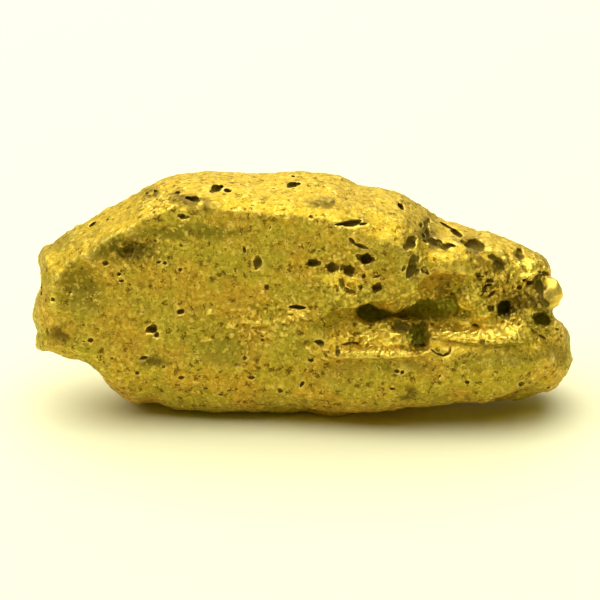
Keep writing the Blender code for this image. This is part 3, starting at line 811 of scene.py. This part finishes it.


# %% [markdown]
# ## Native gold
#
# Native gold is an alloy with a tenth or so of silver. It is a metal, so all of its colour is in
# its reflection. A river leaves it satin where it is rubbed, dull where it is crusty and
# brown-black where iron oxides and silt fill the pits. Some light and shade is painted into the
# colour as well: painted light on the level skin, on the bright crumbs and on the shelf, painted
# shade in dark olive on the dish and the facets, and painted olive fill light in the sheltered
# hollows. Metal is painted out only by silt, which is dry and does not reflect.

# %% The gold material
def native_gold():
    material = bpy.data.materials.new("native gold")
    material.use_nodes = True
    tree = material.node_tree
    shader = tree.nodes["Principled BSDF"]
    shader.inputs["Specular IOR Level"].default_value = 0.15  # the dirt is dry and dull
    worn = {name: add_node(tree, "ShaderNodeAttribute", attribute_name=name).outputs["Fac"]
            for name in ("sheltered", "proud", "upward", "rubbed_and_shaded", "smooth", "stained", "bright",
                         "painted_fill_light")}

    # Noise scales are in blotches to the millimetre.
    place = add_node(tree, "ShaderNodeTexCoord").outputs["Object"]
    place = add_node(tree, "ShaderNodeVectorMath", {0: place, "Scale": 1 / MM}, operation="SCALE")
    noises = {}
    for name, size, detail in (
            ("mottle", 0.9, 3.0), ("cloud", 0.3, 3.0), ("fleck", 0.16, 2.0), ("dust", 0.07, 2.0)):
        noises[name] = add_node(tree, "ShaderNodeTexNoise", {
            "Vector": place.outputs["Vector"], "Scale": 0.5 / size, "Detail": detail,
            "Roughness": 0.55}).outputs["Fac"]

    # Grains of metal a tenth of a millimetre across, each with its own brightness.
    grains = add_node(tree, "ShaderNodeTexVoronoi", {
        "Vector": place.outputs["Vector"], "Scale": 1 / 0.13}, feature="F1").outputs["Color"]

    # Larger crumbs, a third of a millimetre apart. Some are dark specks and some bright flakes.
    ragged = add_node(tree, "ShaderNodeTexNoise", {
        "Vector": place.outputs["Vector"], "Scale": 1 / 0.12, "Detail": 2.0}).outputs["Color"]
    ragged = add_node(tree, "ShaderNodeVectorMath", {
        0: ragged, 1: (0.5, 0.5, 0.5), 2: place.outputs["Vector"]}, operation="MULTIPLY_ADD")
    crumbs = add_node(tree, "ShaderNodeTexVoronoi", {
        "Vector": ragged.outputs["Vector"], "Scale": 1 / 0.33}, feature="F1")
    middle = add_node(tree, "ShaderNodeMapRange", {
        "Value": crumbs.outputs["Distance"], "From Min": 0.42, "From Max": 0.22})
    chosen = {}
    for name, low, high in (("speck", 0.58, 0.62), ("flake", 0.42, 0.38)):
        pick = add_node(tree, "ShaderNodeMapRange", {
            "Value": crumbs.outputs["Color"], "From Min": low, "From Max": high})
        chosen[name] = add_node(tree, "ShaderNodeMath", {
            0: pick.outputs["Result"], 1: middle.outputs["Result"]},
            operation="MULTIPLY").outputs[0]
    # Crumbs in the bright patches take the palest yellow below: partly bright metal, partly painted
    # light.
    crinkled_light = add_node(tree, "ShaderNodeMath", {0: worn["bright"], 1: noises["fleck"]},
                        operation="MULTIPLY").outputs[0]

    # Each layer is a colour, what says where it lies, the range over which it comes in, and
    # how strongly it covers.
    colour = linear("BFAE3A")
    for name, where, low, high, cover, tint in (
            ("warm blotches", noises["mottle"], 0.38, 0.64, 1.0, "CCA83A"),
            # Painted light: level skin, which faces the overhead lamp, is given a lighter yellow.
            ("painted light on level skin", worn["upward"], 0.2, 0.75, 0.85, "D8B632"),
            # Painted shade: the dish and the facets are given a dark olive.
            ("rubbed facets", worn["rubbed_and_shaded"], 0.0, 1.0, 0.7, "767022"),
            ("dull flecks", noises["fleck"], 0.54, 0.66, 0.5, "86701C"),
            ("dark grains", grains, 0.45, 0.2, 0.3, "8F7820"),
            ("bright grains", grains, 0.6, 0.85, 0.35, "FADC5A"),
            ("brown flecks", noises["dust"], 0.62, 0.72, 0.7, "7A4A14"),
            ("dark specks", chosen["speck"], 0.2, 0.8, 0.75, "6A4812"),
            ("bright flakes", chosen["flake"], 0.2, 0.8, 0.6, "F6DC62"),
            # Partly painted light: the palest yellow on crumbs of the bright patches and the shelf.
            ("clean crumbs", crinkled_light, 0.35, 0.5, 0.9, "FFE45E"),
            # Painted fill light: a lighter olive in the sheltered hollows, where shade falls.
            ("painted olive fill light in hollows", worn["painted_fill_light"], 0.0, 1.0, 0.9, "CBC848"),
            ("proud edges", worn["proud"], 0.2, 0.9, 0.6, "FFE070")):
        share = add_node(tree, "ShaderNodeMapRange", {
            "Value": where, "From Min": low, "From Max": high, "To Max": cover},
            interpolation_type="SMOOTHSTEP", label=name)
        colour = add_node(tree, "ShaderNodeMix", {
            0: share.outputs["Result"], 6: colour, 7: linear(tint)}, data_type="RGBA").outputs[2]

    # Iron stains the skin in patches, and silt fills what is sheltered, except in the bright
    # patches, which carry painted light.
    rust = add_node(tree, "ShaderNodeMapRange", {
        "Value": noises["cloud"], "From Min": 0.36, "From Max": 0.52, "To Max": 0.8},
        interpolation_type="SMOOTHSTEP")
    rust = add_node(tree, "ShaderNodeMath", {0: rust.outputs["Result"], 1: worn["stained"]},
                    operation="MULTIPLY")
    colour = add_node(tree, "ShaderNodeMix", {
        0: rust.outputs["Value"], 6: colour, 7: linear("5E4A12")}, data_type="RGBA").outputs[2]
    hidden = add_node(tree, "ShaderNodeMath", {0: noises["fleck"], 1: 0.3, 2: worn["sheltered"]},
                      operation="MULTIPLY_ADD")
    hidden = add_node(tree, "ShaderNodeMath", {
        0: worn["bright"], 1: -0.22, 2: hidden.outputs["Value"]}, operation="MULTIPLY_ADD")
    silt = add_node(tree, "ShaderNodeMapRange", {
        "Value": hidden.outputs["Value"], "From Min": 0.6, "From Max": 0.85},
        interpolation_type="SMOOTHSTEP")
    colour = add_node(tree, "ShaderNodeMix", {
        0: silt.outputs["Result"], 6: colour, 7: linear("94802A")}, data_type="RGBA").outputs[2]
    metal = add_node(tree, "ShaderNodeMath", {0: silt.outputs["Result"], 1: -1.0, 2: 1.0},
                     operation="MULTIPLY_ADD")
    tree.links.new(colour, shader.inputs["Base Color"])
    tree.links.new(metal.outputs["Value"], shader.inputs["Metallic"])

    # Proud places are polished by wear, and the grain is pressed in least where it is rubbed.
    sheen = add_node(tree, "ShaderNodeMath", {0: worn["proud"], 1: noises["mottle"]},
                     operation="ADD")
    gloss = add_node(tree, "ShaderNodeMapRange", {
        "Value": sheen.outputs["Value"], "From Min": 0.2, "From Max": 1.4, "To Min": 0.66,
        "To Max": 0.5})
    gloss = add_node(tree, "ShaderNodeMath", {
        0: worn["bright"], 1: -0.14, 2: gloss.outputs["Result"]}, operation="MULTIPLY_ADD")
    tree.links.new(gloss.outputs["Value"], shader.inputs["Roughness"])
    height = add_node(tree, "ShaderNodeMath", {
        0: chosen["speck"], 1: -0.8, 2: noises["dust"]}, operation="MULTIPLY_ADD")
    height = add_node(tree, "ShaderNodeMath", {
        0: chosen["flake"], 1: 0.6, 2: height.outputs["Value"]}, operation="MULTIPLY_ADD")
    press = add_node(tree, "ShaderNodeMapRange", {
        "Value": worn["upward"], "From Min": 0.2, "From Max": 0.7, "To Min": 0.9, "To Max": 0.45})
    press = add_node(tree, "ShaderNodeMath", {
        0: worn["smooth"], 1: -0.4, 2: press.outputs["Result"]}, operation="MULTIPLY_ADD")
    bump = add_node(tree, "ShaderNodeBump", {
        "Height": height.outputs["Value"], "Strength": press.outputs["Value"],
        "Distance": 0.09 * MM})
    tree.links.new(bump.outputs["Normal"], shader.inputs["Normal"])
    return material


nugget.data.materials.clear()
nugget.data.materials.append(native_gold())
print("gold has", len(nugget.data.materials[0].node_tree.nodes), "nodes")

# %% [markdown]
# ## Floor
#
# A sheet of cream card, as on a studio table. It is dull, so that it only catches the shadow
# and sends a little warm light back to the underside.

# %% Floor
bpy.ops.object.select_all(action="DESELECT")
bpy.ops.mesh.primitive_plane_add(size=1.2)
floor = bpy.context.object
floor.name = "floor"
card = bpy.data.materials.new("cream card")
card.use_nodes = True
card.node_tree.nodes["Principled BSDF"].inputs["Base Color"].default_value = linear("FAF6CA")
card.node_tree.nodes["Principled BSDF"].inputs["Roughness"].default_value = 0.9
floor.data.materials.append(card)
print("the floor is", round(floor.dimensions.x, 2), "m wide")

# %% [markdown]
# ## Light
#
# A metal shows what is round it, so it needs a large lamp near by: a softbox overhead lights the
# top and leaves the front in even shade. A weak one behind lifts the far edge, and a pale
# world keeps the shadows yellow.

# %% Light
NUGGET_MIDDLE = Vector((0, 0, 5))


def soft_light(name, place, size, power):
    """A square lamp at a place in millimetres, turned to the nugget."""
    lamp = bpy.data.lights.new(name, "AREA")
    lamp.size = size * MM
    lamp.energy = power
    holder = bpy.data.objects.new(name, lamp)
    bpy.context.scene.collection.objects.link(holder)
    holder.location = Vector(place) * MM
    aim = NUGGET_MIDDLE - Vector(place)
    holder.rotation_euler = aim.to_track_quat("-Z", "Y").to_euler()


soft_light("overhead softbox", (-42, 15, 200), 400, 1.22)
soft_light("back softbox", (30, 190, 110), 160, 0.11)
world = bpy.data.worlds.new("studio")
world.use_nodes = True
world.node_tree.nodes["Background"].inputs["Color"].default_value = linear("EDF05C")
world.node_tree.nodes["Background"].inputs["Strength"].default_value = 0.125
bpy.context.scene.world = world

# %% [markdown]
# ## Camera
#
# A long lens, as for small things, keeps the two ends the same size. It looks along the line of
# sight on which the marks were placed.

# %% Camera
VIEW_WIDTH = 27.73  # millimetres of the nugget's plane that the picture spans
LENS, SENSOR = 250, 36
camera_data = bpy.data.cameras.new("camera")
camera_data.lens = LENS
camera_data.sensor_width = SENSOR
camera_data.clip_start = 0.01
camera = bpy.data.objects.new("camera", camera_data)
bpy.context.scene.collection.objects.link(camera)
middle = in_space(-0.09, -1.8, 4.53 + MARKS_FROM)
camera.location = (middle - INWARD * (VIEW_WIDTH * LENS / SENSOR)) * MM
camera.rotation_euler = INWARD.to_track_quat("-Z", "Y").to_euler()
bpy.context.scene.camera = camera
bpy.context.scene.view_settings.view_transform = "Standard"
print("the camera is", round((camera.location - middle * MM).length, 3), "m away")
